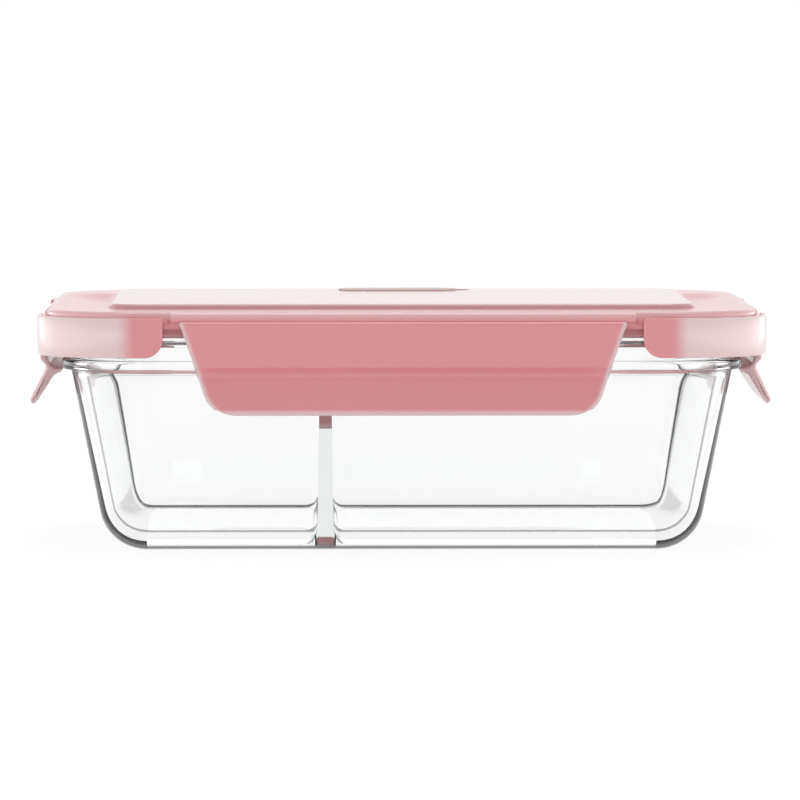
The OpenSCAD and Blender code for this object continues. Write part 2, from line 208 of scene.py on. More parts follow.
outside = np.concatenate([
    arc(GLASS_SIDE - RIM_ROUND, RIM - RIM_ROUND, RIM_ROUND, 90, 0, RIM_STEPS),
    [[GLASS_SIDE, 60.6]],
    arc(GLASS_SIDE + FILLET_ABOVE, FLANGE_TOP + FILLET_ABOVE, FILLET_ABOVE, 180, 270, 4),
    arc(FLANGE_TIP, FLANGE_TOP - FLANGE_ROUND, FLANGE_ROUND, 90, 0, 5),
    arc(FLANGE_TIP, FLANGE_FOOT + FLANGE_ROUND, FLANGE_ROUND, 0, -90, 5),
    arc(GLASS_SIDE + FILLET_BELOW, FLANGE_FOOT - FILLET_BELOW, FILLET_BELOW, 90, 180, 3),
    line((GLASS_SIDE - 0.2, 52.2), slope_foot, 12),
    arc(outer_base, FOOT_ROUND, FOOT_ROUND, slope_starts, -90, 14)])

# The divider's half width at each height: a fillet at its foot, a tapered side, a round top.
side_foot, side_head = FLOOR + DIVIDER_FILLET, DIVIDER_Z - DIVIDER_TOP
side_z = inside[(inside[:, 1] > side_foot) & (inside[:, 1] < side_head), 1]
taper = (DIVIDER_TOP - DIVIDER_FOOT) / (side_head - side_foot)
half_divider = np.concatenate([
    arc(DIVIDER_FOOT + DIVIDER_FILLET, side_foot, DIVIDER_FILLET, 270, 180, 7),
    np.stack([DIVIDER_FOOT + taper * (side_z - side_foot), side_z], 1),
    arc(0, side_head, DIVIDER_TOP, 0, 90, 6)])


def divider_height(x):
    """The height of the glass's upper face at x: the divider's outline, or the floor."""
    return np.interp(np.abs(x - DIVIDER_X), half_divider[::-1, 0], half_divider[::-1, 1],
                     right=FLOOR)


divider_columns = np.concatenate([
    DIVIDER_X - half_divider[:, 0], DIVIDER_X + half_divider[:-1, 0]])
glass_columns = np.unique(np.round(np.concatenate([
    np.linspace(-GLASS_CX, GLASS_CX, 15), divider_columns]), 4))
glass_rows = np.linspace(-GLASS_CY, GLASS_CY, 9)
glass_loop = loop_stations(GLASS_CX, GLASS_CY, glass_columns, glass_rows, 17)

# The wall is raised to the divider's height where the two meet, up to the rim's rounding.
profile = np.concatenate([inside, outside])
profile[:, 0] -= GLASS_CX
walls = swept(glass_loop, profile)
around = walls.shape[1]
under_rim = len(inside) - (RIM_STEPS + 1)
on_long_side = np.abs(glass_loop[1][:, 1]) == 1
lift = np.where(on_long_side, divider_height(glass_loop[0][:, 0]), FLOOR)
walls[:under_rim, :, 2] = np.maximum(walls[:under_rim, :, 2], lift[None])

# Each quad is renumbered so that its first and third corners are the pair nearer in height.
# The raised quads are split between those two, which keeps the crease at the divider sharp.
wall_faces = grid_faces(len(profile), around, close_columns=True)
corner_z = walls.reshape(-1, 3)[wall_faces, 2]
crossed = np.abs(corner_z[:, 1] - corner_z[:, 3]) > np.abs(corner_z[:, 0] - corner_z[:, 2]) + 1e-6
wall_faces[crossed] = np.roll(wall_faces[crossed], -1, axis=1)
raised = np.isin(wall_faces % around, np.flatnonzero(lift > FLOOR)).any(1)
raised &= (wall_faces // around < under_rim).all(1)
wall_faces = (wall_faces[~raised].tolist() + wall_faces[raised][:, [0, 1, 2]].tolist()
              + wall_faces[raised][:, [0, 2, 3]].tolist())

floor_x, floor_y = np.meshgrid(glass_columns, glass_rows)
floor_top = np.stack([floor_x, floor_y, divider_height(floor_x)], 2).reshape(-1, 3)
floor_under = np.stack([floor_x, floor_y, np.zeros_like(floor_x)], 2).reshape(-1, 3)
floor_faces = grid_faces(len(glass_rows), len(glass_columns))
base_ring = swept(glass_loop, np.array([[0.0, 0.0]]))[0]
under = np.concatenate([walls[-1], base_ring])

glass_body = welded(piece_from("glass_body", [
    (walls.reshape(-1, 3), wall_faces), (floor_top, floor_faces), (floor_under, floor_faces),
    (under, grid_faces(2, around, close_columns=True))], smooth=50), 2e-6)

# Curved faces are graded by how broad a painted dark line their edge gets. This painted shade
# stands in for the dark surroundings that glass shows where it turns away from the eye.
# It is 1 in the cavity, less on the outside, and more again towards the foot, where it also stands
# in for the shade under the box.
# Flat faces have 0, because one that is seen at a low angle would turn dark all over. The margins
# of under a millimetre allow for the centre of a face lying a little off the curve.
OUTER_BREADTH, FOOT_ADDS, FOOT_RISE = 0.4, 0.65, 10.0
FOOT_TURN_TOP, FLOOR_TURN_TOP = 11.0, FLOOR + 8
centres = places_of(glass_body.data.polygons, "center")
height = centres[:, 2]
past_foot = np.abs(centres[:, :2]) - (GLASS_CX, GLASS_CY)
reach = np.hypot(*np.clip(past_foot, 0, None).T) + GLASS_CX
in_cavity = (reach < np.interp(height, inside[:, 1], inside[:, 0]) + 0.6) & (height > FLOOR - 0.5)
turned = past_foot.min(1) > 0
along_side = past_foot[:, 1] > 0
rounded_foot = (reach > outer_base + 0.5) & (height < FOOT_TURN_TOP) & along_side
rounded_floor = in_cavity & (reach > inner_base + 0.3) & (height < FLOOR_TURN_TOP) & along_side
painted_outer_shade = OUTER_BREADTH + FOOT_ADDS * np.clip((FOOT_ROUND - height) / FOOT_RISE, 0, 1)
painted_edge_shade = np.where(in_cavity, 1.0, painted_outer_shade) * (turned | rounded_foot | rounded_floor)
store(glass_body, "painted_edge_shade", "FACE", painted_edge_shade)

# Borosilicate glass, pressed and fire polished: clear, with a faint grey-green where the eye looks
# a long way through it.
# Dark thin lines are painted where its surfaces turn away from the eye. This is painted shade in
# the base colour, with less light let through, standing in for the dark surroundings that such
# edges show.
# The ripple is left by the pressing: very shallow waves, each about 18 mm long.
pressed_glass, tree = new_material("pressed_borosilicate_glass")
ripple = add_node(tree, "ShaderNodeTexNoise", {"Scale": 55.0, "Detail": 1.0, "Roughness": 0.4})
tree.links.new(add_node(tree, "ShaderNodeTexCoord").outputs["Object"], ripple.inputs["Vector"])
bump = add_node(tree, "ShaderNodeBump", {"Strength": 0.012, "Distance": 0.001,
                                        "Height": ripple.outputs["Fac"]})
slant = add_node(tree, "ShaderNodeLayerWeight", {"Blend": 0.5})
breadth = add_node(tree, "ShaderNodeAttribute", attribute_name="painted_edge_shade").outputs["Fac"]
# Facing runs from 0, face on, to 1, edge on. A line starts and is full at values that fall as
# its breadth grows, so at breadth 0 it starts past 1 and never shows.
start = add_node(tree, "ShaderNodeMapRange", {"Value": breadth, "To Min": 1.05, "To Max": 0.55})
full = add_node(tree, "ShaderNodeMapRange", {"Value": breadth, "To Min": 1.3, "To Max": 0.7})
painted_dark_edge = add_node(tree, "ShaderNodeMapRange", {
    "Value": slant.outputs["Facing"], "From Min": start.outputs[0], "From Max": full.outputs[0]},
    interpolation_type="SMOOTHSTEP").outputs[0]
# Painted shade: along the line the base colour turns dark grey and the glass lets less light
# through.
painted_edge_tint = add_node(tree, "ShaderNodeMix", {
    MIX_SHARE: painted_dark_edge, MIX_A: linear("#FCFDFD"), MIX_B: linear("#2E3433")}, data_type="RGBA")
clear = add_node(tree, "ShaderNodeMapRange", {"Value": painted_dark_edge, "To Min": 1.0, "To Max": 0.25})
surface = add_node(tree, "ShaderNodeBsdfPrincipled", {
    "Base Color": painted_edge_tint.outputs[MIXED], "Roughness": 0.0, "IOR": 1.47,
    "Transmission Weight": clear.outputs[0], "Normal": bump.outputs["Normal"]})
depth = add_node(tree, "ShaderNodeVolumeAbsorption", {"Color": linear("#9DAFAC"), "Density": 1.8})
add_node(tree, "ShaderNodeOutputMaterial", {"Surface": surface.outputs[0],
                                            "Volume": depth.outputs[0]})
glass_body.data.materials.append(pressed_glass)
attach(glass_body, "container")
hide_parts("glass_container")


# ---- Lid shell --------------------------------------------------------------------------
# One moulding in pink polypropylene: a top plate with a sloped edge, a skirt round each
# corner standing off it behind an open slot, and under it the walls that hold the seals.

LID_CX, LID_CY, LID_TURNS = 79.0, 53.5, 23   # each corner's centre, and its steps
LID_TOP, LID_UNDER = 71.2, 69.0
SEAT = 70.3
PANEL_X, PANEL_Y, PANEL_R, PANEL_GAP = 86.0, 56.0, 8.0, 0.3
SKIRT_OUT, SKIRT_IN, SKIRT_TOP, SKIRT_FOOT = 107.0, 105.6, 69.5, 57.9
SKIRT_END_X, SKIRT_END_Y = 69.6, 44.1
SKIRT_ROUND, SKIRT_END_ROUND, SKIRT_FOOT_ROUND = 0.45, 0.5, 5.5
SLOT_END_X, SLOT_END_Y, SLOT_BLEND = 67.8, 42.3, 0.5
SLOT_FLOOR, RAIL_FOOT = 68.4, 66.2
TIE_IN, TIE_OUT = 103.6, 106.2
BEAD_OUT, BEAD_Z, BEAD_R, HOLLOW_R = 105.6, 67.0, 1.4, 1.45
DISH_DEPTH = 1.45
DISH_FULL_Y, DISH_EDGE_Y = 38.5, 52.0
DISH_EDGE_X, DISH_FULL_X, DISH_FULL_SHARE = 86.4, 88.5, 0.35
SEAL_WALL = 1.6
BAR_NEAR, BAR_FAR, BAR_END, BAR_FOOT, BAR_HEAD = 2.2, 3.4, 64.5, 65.4, 69.4
VENT_Y, VENT_HOLES, VENT_HOLE_R = 44.0, (6.0, -14.0), 2.5
# Where the painted highlight lies on the plate's edge and on the skirts' turned parts.
PALE_OUT, PALE_UP, PALE_TURN = (102.2, 103.2), (69.4, 69.9), (-1.2, 4.2)
FAR = 99.0   # a length that stands for any that is too long to matter


def rounded(corners, n=4):
    """A closed outline whose corners (u, z, r) are rounded by quadratic curves.

    Each curve starts and ends r * tan(turn / 2) from its corner, or 0.45 of the shorter side.
    """
    c = np.array(corners, float)
    p, r = c[:, :2], c[:, 2]
    back, ahead = np.roll(p, 1, 0) - p, np.roll(p, -1, 0) - p
    lb, la = np.linalg.norm(back, axis=1), np.linalg.norm(ahead, axis=1)
    back, ahead = back / lb[:, None], ahead / la[:, None]
    turn = pi - np.arccos(np.clip((back * ahead).sum(1), -1, 1))
    reach = np.minimum(r * np.tan(np.clip(turn, 0, 3) / 2), 0.45 * np.minimum(lb, la))[:, None]
    t = np.linspace(0, 1, n + 1)[None, :, None]
    a, b = (p + back * reach)[:, None], (p + ahead * reach)[:, None]
    curve = (1 - t) ** 2 * a + 2 * t * (1 - t) * p[:, None] + t ** 2 * b
    flat = curve.reshape(-1, 2)
    keep = np.linalg.norm(flat - np.roll(flat, 1, 0), axis=1) > 1e-4
    return flat[keep]


def ring_part(stations, section):
    """A closed section carried all the way round: one closed tube."""
    points = swept(stations, section)
    faces = grid_faces(*points.shape[:2], close_rows=True, close_columns=True)
    return points.reshape(-1, 3), faces


def capped(points):
    """A tube of closed sections, points[section, place], with a flat cap on each end."""
    count, around = points.shape[:2]
    faces = grid_faces(count, around, close_columns=True).tolist()
    faces += [list(range(around))[::-1], list(range((count - 1) * around, count * around))]
    return points.reshape(-1, 3), faces


def ends_inset(distance, r):
    """How far an outline draws in at d from a rounded end: r - sqrt(r^2 - (r - d)^2)."""
    near = np.clip(r - distance, 0, r)
    return r - np.sqrt(r * r - near * near)


def smooth_rise(value, low, high):
    """0 below low, 1 above high, and 3t^2 - 2t^3 between."""
    t = np.clip((value - low) / (high - low), 0, 1)
    return t * t * (3 - 2 * t)


# Stations lie close together where the edge changes its profile and where the dishes slope.
slot_end = np.linspace(-SLOT_BLEND, SLOT_BLEND, 5)
dish_slope = np.linspace(DISH_FULL_Y - 2.0, DISH_EDGE_Y - 0.5, 9)
lid_columns = np.unique(np.concatenate(
    [np.linspace(-LID_CX, LID_CX, 13), [0.0]]
    + [side * (SLOT_END_X + slot_end) for side in (-1, 1)]))
lid_rows = np.unique(np.concatenate(
    [np.linspace(-LID_CY, LID_CY, 9)]
    + [side * np.append(SLOT_END_Y + slot_end, dish_slope) for side in (-1, 1)]))
lid_loop = loop_stations(LID_CX, LID_CY, lid_columns, lid_rows, LID_TURNS)
panel_cx, panel_cy = PANEL_X - PANEL_R, PANEL_Y - PANEL_R
panel_loop = loop_stations(panel_cx, panel_cy, lid_columns * panel_cx / LID_CX,
                           lid_rows * panel_cy / LID_CY, LID_TURNS)

feet, out = lid_loop
on_side = np.isclose(np.abs(out), 1).any(1)
past_end = np.where(np.isclose(np.abs(out[:, 1]), 1), np.abs(feet[:, 0]) - SLOT_END_X,
                    np.abs(feet[:, 1]) - SLOT_END_Y)
at_corner = np.where(on_side, smooth_rise(past_end, -SLOT_BLEND, SLOT_BLEND), 1.0)

# The plate's edge, first where a latch hangs in its hollow, and then where a slot parts it
# from a skirt. Both come back under it over the same rail.
rail = [[102.4, RAIL_FOOT], [102.2, 66.4], [102.2, LID_UNDER]]
by_latch = np.concatenate([
    [[103.2, LID_TOP], [103.75, 71.12], [104.1, 70.9], [104.9, 70.3], [105.12, 70.02],
     [105.2, 69.7], [105.2, 68.45]],
    arc(BEAD_OUT, BEAD_Z, HOLLOW_R, 106, 213, 6), rail])
by_slot = np.concatenate([
    [[102.6, LID_TOP], [103.1, 71.15], [103.5, 71.0], [103.85, 70.8], [103.97, 70.6],
     [104.0, 70.3], [104.0, 68.3]],
    np.stack([np.full(7, 104.0), np.linspace(68.2, RAIL_FOOT, 7)], 1), rail])
corner_share = at_corner[None, :, None]
edge = by_latch[:, None] * (1 - corner_share) + by_slot[:, None] * corner_share
edge_points = np.concatenate([
    feet[None] + (edge[..., :1] - LID_CX) * out[None], edge[..., 1:]], 2)

# The top runs from the panel's recess to the edge, with a shallow dish beside each end of it.
recess = swept(panel_loop, np.array([
    [PANEL_R + PANEL_GAP, SEAT], [PANEL_R + PANEL_GAP, LID_TOP - 0.2], [PANEL_R + 0.5, LID_TOP]]))
t = np.linspace(0, 1, 14)[1:-1, None, None]
top = recess[-1][None] * (1 - t) + edge_points[0][None] * t
across = 1 - smooth_rise(np.abs(top[..., 1]), DISH_FULL_Y, DISH_EDGE_Y)
over_end = smooth_rise(np.abs(top[..., 0]), DISH_EDGE_X, DISH_FULL_X) * (
    1 - smooth_rise(t[..., 0], DISH_FULL_SHARE, 1.0))
top[..., 2] -= DISH_DEPTH * across * over_end
plate = np.concatenate([recess, top, edge_points])
rows, around = plate.shape[:2]
plate_faces = grid_faces(rows, around, close_columns=True).tolist()
plate_faces += [list(range(around)), list(range((rows - 1) * around, rows * around))[::-1]]


def skirt_part(sx, sy):
    """A corner skirt: a strip carried round a corner, with rounded edges and rounded feet.

    Its section is a rectangle whose corners are quarter circles. Near each end the section
    draws in on all sides, and its foot rises, both by ends_inset.
    """
    turn = np.linspace(0, pi / 2, 25)
    fine = np.concatenate([[0, 0.04, 0.14, 0.3, 0.5], np.linspace(0.9, SKIRT_FOOT_ROUND, 9)])
    up, along = SKIRT_END_Y + fine, SKIRT_END_X + fine
    side = np.concatenate([up, np.linspace(up[-1], LID_CY, 4)[1:-1]])
    over = np.concatenate([np.linspace(LID_CX, along[-1], 4)[1:-1], along[::-1]])
    foot = np.concatenate([np.stack([np.full(len(side), LID_CX), side], 1),
                           np.tile((LID_CX, LID_CY), (len(turn), 1)),
                           np.stack([over, np.full(len(over), LID_CY)], 1)])
    way = np.concatenate([np.tile((1.0, 0.0), (len(side), 1)),
                          np.stack([np.cos(turn), np.sin(turn)], 1),
                          np.tile((0.0, 1.0), (len(over), 1))])
    from_end = np.concatenate([side - SKIRT_END_Y, np.full(len(turn), FAR), over - SKIRT_END_X])
    inset = ends_inset(from_end, SKIRT_END_ROUND)[:, None]
    low = SKIRT_FOOT + ends_inset(from_end, SKIRT_FOOT_ROUND)[:, None]
    r = SKIRT_ROUND
    section = np.concatenate([arc(-r, -r, r, 0, 90, 4), arc(r, -r, r, 90, 180, 4),
                              arc(r, r, r, 180, 270, 4), arc(-r, r, r, 270, 360, 4)])
    outer = np.repeat([1, 0, 0, 1], 5)
    upper = np.repeat([1, 1, 0, 0], 5)
    u = np.where(outer, SKIRT_OUT - inset, SKIRT_IN + inset) + section[:, 0]
    z = np.where(upper, SKIRT_TOP - inset, low + inset) + section[:, 1]
    flat = foot[:, None] + (u - LID_CX)[..., None] * way[:, None]
    return capped(np.concatenate([flat * (sx, sy), z[..., None]], 2))


def tie_part(sx, sy):
    """The bar under a slot that ties a skirt to the plate: a flat strip round the corner."""
    turn = np.linspace(0, pi / 2, 25)
    foot = np.concatenate([[(LID_CX, SKIRT_END_Y)], np.tile((LID_CX, LID_CY), (len(turn), 1)),
                           [(SKIRT_END_X, LID_CY)]])
    way = np.concatenate([[(1.0, 0.0)], np.stack([np.cos(turn), np.sin(turn)], 1), [(0.0, 1.0)]])
    u = np.array([TIE_IN, TIE_OUT, TIE_OUT, TIE_IN]) - LID_CX
    z = np.array([RAIL_FOOT, RAIL_FOOT, SLOT_FLOOR, SLOT_FLOOR])
    flat = foot[:, None] + u[None, :, None] * way[:, None]
    heights = np.broadcast_to(z[None, :, None], flat.shape[:2] + (1,))
    return capped(np.concatenate([flat * (sx, sy), heights], 2))


def bar_part(x0, x1):
    """A straight bar along Y from x0 to x1, with rounded long edges, that holds a seal."""
    section = rounded([(x0, BAR_FOOT, 0.25), (x1, BAR_FOOT, 0.25), (x1, BAR_HEAD, 0.25),
                       (x0, BAR_HEAD, 0.25)])
    points = np.stack([np.stack([section[:, 0], np.full(len(section), y), section[:, 1]], 1)
                       for y in (-BAR_END, BAR_END)])
    return capped(points)


seal_loop = loop_stations(GLASS_CX, GLASS_CY, np.linspace(-GLASS_CX, GLASS_CX, 9),
                          np.linspace(-GLASS_CY, GLASS_CY, 7), 15)


def seal_wall(outer, foot):
    """A thin wall round the rim, from its foot up into the plate."""
    u1, u0 = outer - GLASS_CX, outer - SEAL_WALL - GLASS_CX
    head = LID_UNDER + 0.4
    return ring_part(seal_loop, rounded([(u0, foot, 0.4), (u1, foot, 0.4),
                                         (u1, head, 0), (u0, head, 0)]))


def cut(obj, *cutters):
    """Takes the cutters' solids out of an object for good, and makes the new edges sharp."""
    for cutter in cutters:
        tool = obj.modifiers.new("cut", "BOOLEAN")
        tool.object, tool.solver = cutter, "EXACT"
        with bpy.context.temp_override(object=obj, active_object=obj):
            bpy.ops.object.modifier_apply(modifier=tool.name)
        bpy.data.objects.remove(cutter)
    smooth_under(obj, 30)


def hole_cutter(x, y, r, low, high):
    """A round cutter standing on (x, y)."""
    a = np.linspace(0, 2 * pi, 49)[:-1]
    ring = np.stack([x + r * np.cos(a), y + r * np.sin(a)], 1)
    points = np.stack([np.c_[ring, np.full(len(a), z)] for z in (low, high)])
    return welded(piece_from("cutter", [capped(points)]))


def painted_pale_of_lid(p):
    """How pale the lid is painted at each point, a painted highlight where its turned and rounded
    edges would catch the lamps: 1 on a skirt's turned part, 0 on its straight ends.

    The plate's edge has half, rising over its last millimetre outwards and half of one upwards.
    """
    past = np.abs(p[:, :2]) - (LID_CX, LID_CY)
    reach = np.hypot(*np.clip(past, 0, None).T) + LID_CX
    on_skirt = (reach > SKIRT_IN - 0.1) & (p[:, 2] < SKIRT_TOP + 0.1)
    on_edge = 0.5 * smooth_rise(reach, *PALE_OUT) * smooth_rise(p[:, 2], *PALE_UP)
    return np.maximum(on_skirt * smooth_rise(past.min(1), *PALE_TURN), ~on_skirt * on_edge)


lid_top = welded(piece_from("lid_top", [(plate.reshape(-1, 3), plate_faces)], smooth=40))
cut(lid_top, *[hole_cutter(x, VENT_Y, VENT_HOLE_R, LID_UNDER - 1, LID_TOP - 0.2)
               for x in VENT_HOLES])
quarters = [(sx, sy) for sx in (1, -1) for sy in (1, -1)]
walls_and_skirts = welded(piece_from("walls_and_skirts", [
    seal_wall(99.2, 64.0), seal_wall(91.4, 62.9),
    bar_part(DIVIDER_X - BAR_FAR, DIVIDER_X - BAR_NEAR),
    bar_part(DIVIDER_X + BAR_NEAR, DIVIDER_X + BAR_FAR)]
    + [skirt_part(*q) for q in quarters] + [tie_part(*q) for q in quarters], smooth=40))
with bpy.context.temp_override(object=lid_top, active_object=lid_top,
                               selected_editable_objects=[lid_top, walls_and_skirts]):
    bpy.ops.object.join()


def moulded_plastic(name, colour, shade, roughness, gloss):
    """Injection-moulded polypropylene: one colour that drifts slightly, a soft gloss, fine grain.

    The drift is about 70 mm long and the grain about half a millimetre. The plastic is painted
    paler where an attribute says so, from 0 to 1. This is a painted highlight on turned skirts and
    rounded edges, where they would catch the lamps.
    """
    material, tree = new_material(name)
    place = add_node(tree, "ShaderNodeTexCoord").outputs["Object"]
    drift = add_node(tree, "ShaderNodeTexNoise", {"Vector": place, "Scale": 14.0, "Detail": 2.0})
    tone = add_node(tree, "ShaderNodeMix", {
        MIX_SHARE: drift.outputs["Fac"], MIX_A: linear(colour), MIX_B: linear(shade)},
        data_type="RGBA")
    # Painted highlight: the pink fades to a pale pink where the mesh's attribute asks for it.
    painted_pale = add_node(tree, "ShaderNodeAttribute", attribute_name="painted_pale").outputs["Fac"]
    tone = add_node(tree, "ShaderNodeMix", {
        MIX_SHARE: painted_pale, MIX_A: tone.outputs[MIXED], MIX_B: linear("#EBCFD0")}, data_type="RGBA")
    grain = add_node(tree, "ShaderNodeTexNoise", {"Vector": place, "Scale": 1800.0, "Detail": 2.0})
    skin = add_node(tree, "ShaderNodeBump", {"Strength": 0.05, "Distance": 0.0002,
                                            "Height": grain.outputs["Fac"]})
    body = add_node(tree, "ShaderNodeBsdfPrincipled", {
        "Base Color": tone.outputs[MIXED], "Roughness": roughness, "IOR": 1.49,
        "Specular IOR Level": 0.15, "Coat Weight": gloss, "Coat Roughness": 0.16,
        "Coat IOR": 1.65, "Subsurface Weight": 0.08, "Subsurface Scale": 0.002,
        "Subsurface Radius": (1.0, 0.5, 0.45), "Normal": skin.outputs["Normal"]})
    add_node(tree, "ShaderNodeOutputMaterial", {"Surface": body.outputs[0]})
    return material


# Polypropylene from a polished mould: pink all through, softly glossy, so a face seen at a
# low angle turns pale with what it reflects.
pink_plastic = moulded_plastic("moulded_polypropylene_pink", "#EA999F", "#E5939A", 0.34, 0.8)
# Paints the pale highlight onto the skirts' turned parts and the plate's edge.
store(lid_top, "painted_pale", "POINT", painted_pale_of_lid(places_of(lid_top.data.vertices, "co")))
lid_top.data.materials.append(pink_plastic)
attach(lid_top, "lid")
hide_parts("lid_shell")


# ---- Top panel --------------------------------------------------------------------------
# A flat plate of paler polypropylene set in a recess of the lid, with softly rounded edges
# and a pocket near its back edge for the vent.

PANEL_TOP, PANEL_ROUND = 72.5, 1.2
POCKET_Z, CUT_TOP = 71.3, 73.5
POCKET_CX, POCKET_CY, POCKET_R = 12.0, 2.0, 6.3
NOTCH_X, NOTCH_R = 18.0, 4.0


def slab_part(cx, cy, section, x=0.0, y=0.0):
    """A slab at (x, y) whose rounded outline has corner centres (cx, cy).

    Its edge is an open section, from its underside to its top.
    """
    stations = loop_stations(cx, cy, np.array([-cx, cx]), np.array([-cy, cy]), 15)
    return capped(swept(stations, section) + (x, y, 0))


panel_edge = np.concatenate([
    [[PANEL_R - 0.2, SEAT], [PANEL_R, SEAT + 0.2]],
    arc(PANEL_R - PANEL_ROUND, PANEL_TOP - PANEL_ROUND, PANEL_ROUND, 0, 90, 10),
    [[PANEL_R - 1.5, PANEL_TOP]]])
top_panel = welded(piece_from("top_panel", [slab_part(panel_cx, panel_cy, panel_edge)]))
pocket_side = np.array([[POCKET_R, POCKET_Z], [POCKET_R, CUT_TOP]])
pocket = welded(piece_from("cutter", [
    slab_part(POCKET_CX, POCKET_CY, pocket_side, 0.0, VENT_Y)]))
cut(top_panel, pocket, hole_cutter(NOTCH_X, VENT_Y, NOTCH_R, POCKET_Z, CUT_TOP),
    *[hole_cutter(x, VENT_Y, VENT_HOLE_R, LID_UNDER, CUT_TOP) for x in VENT_HOLES])

# The same plastic in a paler pink, from a mould polished further, so it mirrors more.
panel_plastic = moulded_plastic("moulded_polypropylene_pale", "#E0AAAC", "#DCA5A8", 0.28, 0.95)
top_panel.data.materials.append(panel_plastic)
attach(top_panel, "lid")
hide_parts("lid_panel")


# ---- Latches ----------------------------------------------------------------------------
# Four flaps in the lid's own pink polypropylene. Each hangs from a bead along its top, with
# a snap ridge inside, a crease across it, and a tab that flares out to be pulled.

SIDE_STEP = 25.5   # how much nearer the middle a latch hangs on a long side than on an end
END_LEAN = radians(19.2)
LATCH_HEAD, LATCH_TALL, LATCH_CORNER = 68.4, 27.0, 10.0
LATCH_ROUND = 0.95
LONG_LATCH, SHORT_LATCH = 130.0, 79.0
# Where the painted pale highlight lies along a latch's ends and foot, and how pale it is there.
PALE_EDGE, EDGE_PALENESS, PALE_FOOT = (0.5, 1.7), 0.85, 41.6


def finely(points, step):
    """A closed outline with extra points, so that none of its sides is longer than step."""
    closed = np.vstack([points, points[:1]])
    far = np.concatenate([[0], np.cumsum(np.linalg.norm(np.diff(closed, axis=0), axis=1))])
    at = np.concatenate([np.linspace(a, b, int(np.ceil((b - a) / step)) + 1)[:-1]
                         for a, b in zip(far, far[1:])])
    return np.stack([np.interp(at, far, closed[:, 0]), np.interp(at, far, closed[:, 1])], 1)


def inner_circles(points, normals):
    """The radius of the largest circle inside a closed outline that touches it at each point.

    Another point at offset d limits it to |d|^2 / (2 d . inward), where that is positive.
    """
    offset = points[None] - points[:, None]
    inward = -(offset * normals[:, None]).sum(2)
    radii = (offset ** 2).sum(2) / (2 * np.maximum(inward, 1e-6))
    return np.where(inward > 1e-6, radii, FAR).min(1)


# The section of a flap, as it hangs on an end: the bead, then down the outside to the tab's
# lower edge, and up the inside past the snap ridge.
flap = finely(np.concatenate([
    arc(BEAD_OUT, BEAD_Z, BEAD_R, 244.6, 0, 20),
    rounded([(107.0, 64.0, 0), (107.0, 60.0, 0), (107.0, 55.3, 0.7), (105.4, 53.4, 1.2),
             (105.5, 52.3, 1.2), (107.9, 47.6, 0), (110.3, 43.1, 0.6), (110.1, 41.5, 0.8),
             (109.0, 41.4, 0.6), (105.8, 46.2, 0), (103.2, 50.5, 1.2), (101.1, 51.3, 0.6),
             (100.4, 52.0, 0.3), (100.5, 52.6, 0.25), (102.4, 52.85, 0.4), (104.2, 54.1, 0.8),
             (105.0, 56.4, 1.0), (105.0, 61.0, 0)], n=5)]), 0.7)
after = np.roll(flap, -1, 0)
tangent = after - np.roll(flap, 1, 0)
flap_normals = np.stack([tangent[:, 1], -tangent[:, 0]], 1)
flap_normals /= np.linalg.norm(flap_normals, axis=1)[:, None]
flap_normals *= np.sign((flap[:, 0] * after[:, 1] - after[:, 0] * flap[:, 1]).sum())

# An end is rounded by LATCH_ROUND or, where the flap is thin, by 0.85 of the largest circle
# that fits inside it. Each value is then averaged with its two neighbours.
flap_inset = np.minimum(LATCH_ROUND, 0.85 * inner_circles(flap, flap_normals))
flap_inset = (np.roll(flap_inset, 1) + flap_inset + np.roll(flap_inset, -1)) / 3


def latch_half_length(z, length):
    """Half a latch's length at height z.

    Its ends lean in on the way down, and turn into the tab's lower edge by a round corner:
    centre x + sqrt(r^2 - (centre z - z)^2).
    """
    half = length / 2 - (LATCH_HEAD - z) * tan(END_LEAN)
    centre_x = (length / 2 - LATCH_TALL * tan(END_LEAN)
                - LATCH_CORNER / tan((pi / 2 + END_LEAN) / 2))
    centre_z = LATCH_HEAD - LATCH_TALL + LATCH_CORNER
    corner = centre_x + np.sqrt(np.clip(LATCH_CORNER ** 2 - (centre_z - z) ** 2, 0, None))
    return np.where(z < centre_z - LATCH_CORNER * sin(END_LEAN), corner, half)


def latch_piece(name, node, body, length, turn, step):
    """A latch: the flap's section carried along X, and then turned about Z.

    At a distance d from an end, the section draws in along its normals by the share
    ends_inset(d) / r of flap_inset, which rounds the end by a quarter circle.
    """
    # The last three lie past the rounding, and carry the fade of the painted pale edge, a painted
    # highlight.
    ends = np.append(LATCH_ROUND * (1 - np.cos(np.linspace(0, pi / 2, 9))), (1.3, 1.7, 2.2))
    along = np.concatenate([np.full(len(ends), -1.0), np.linspace(-1, 1, 15)[1:-1],
                            np.full(len(ends), 1.0)])
    from_tip = np.concatenate([ends, np.full(len(along) - 2 * len(ends), ends[-1]), ends[::-1]])
    share = ends_inset(from_tip, LATCH_ROUND) / LATCH_ROUND
    drawn = flap - flap_normals * (flap_inset * share[:, None])[..., None]
    half = latch_half_length(flap[:, 1], length)
    x = along[:, None] * (half - from_tip[:, None])
    points, faces = capped(np.stack([x, -(drawn[..., 0] - step), drawn[..., 1]], 2))
    c, s = cos(radians(turn)), sin(radians(turn))
    points = points @ np.array([[c, s, 0], [-s, c, 0], [0, 0, 1]])
    from_edge = np.minimum(half - np.abs(x), flap[:, 1] - PALE_FOOT).reshape(-1)
    obj = piece_from(name, [(points, faces)], smooth=45)
    # Paints a pale highlight along the latch's ends and its foot.
    store(obj, "painted_pale", "POINT", EDGE_PALENESS * (1 - smooth_rise(from_edge, *PALE_EDGE)))
    welded(obj)
    obj.data.materials.append(pink_plastic)
    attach(obj, body)
    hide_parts(node)


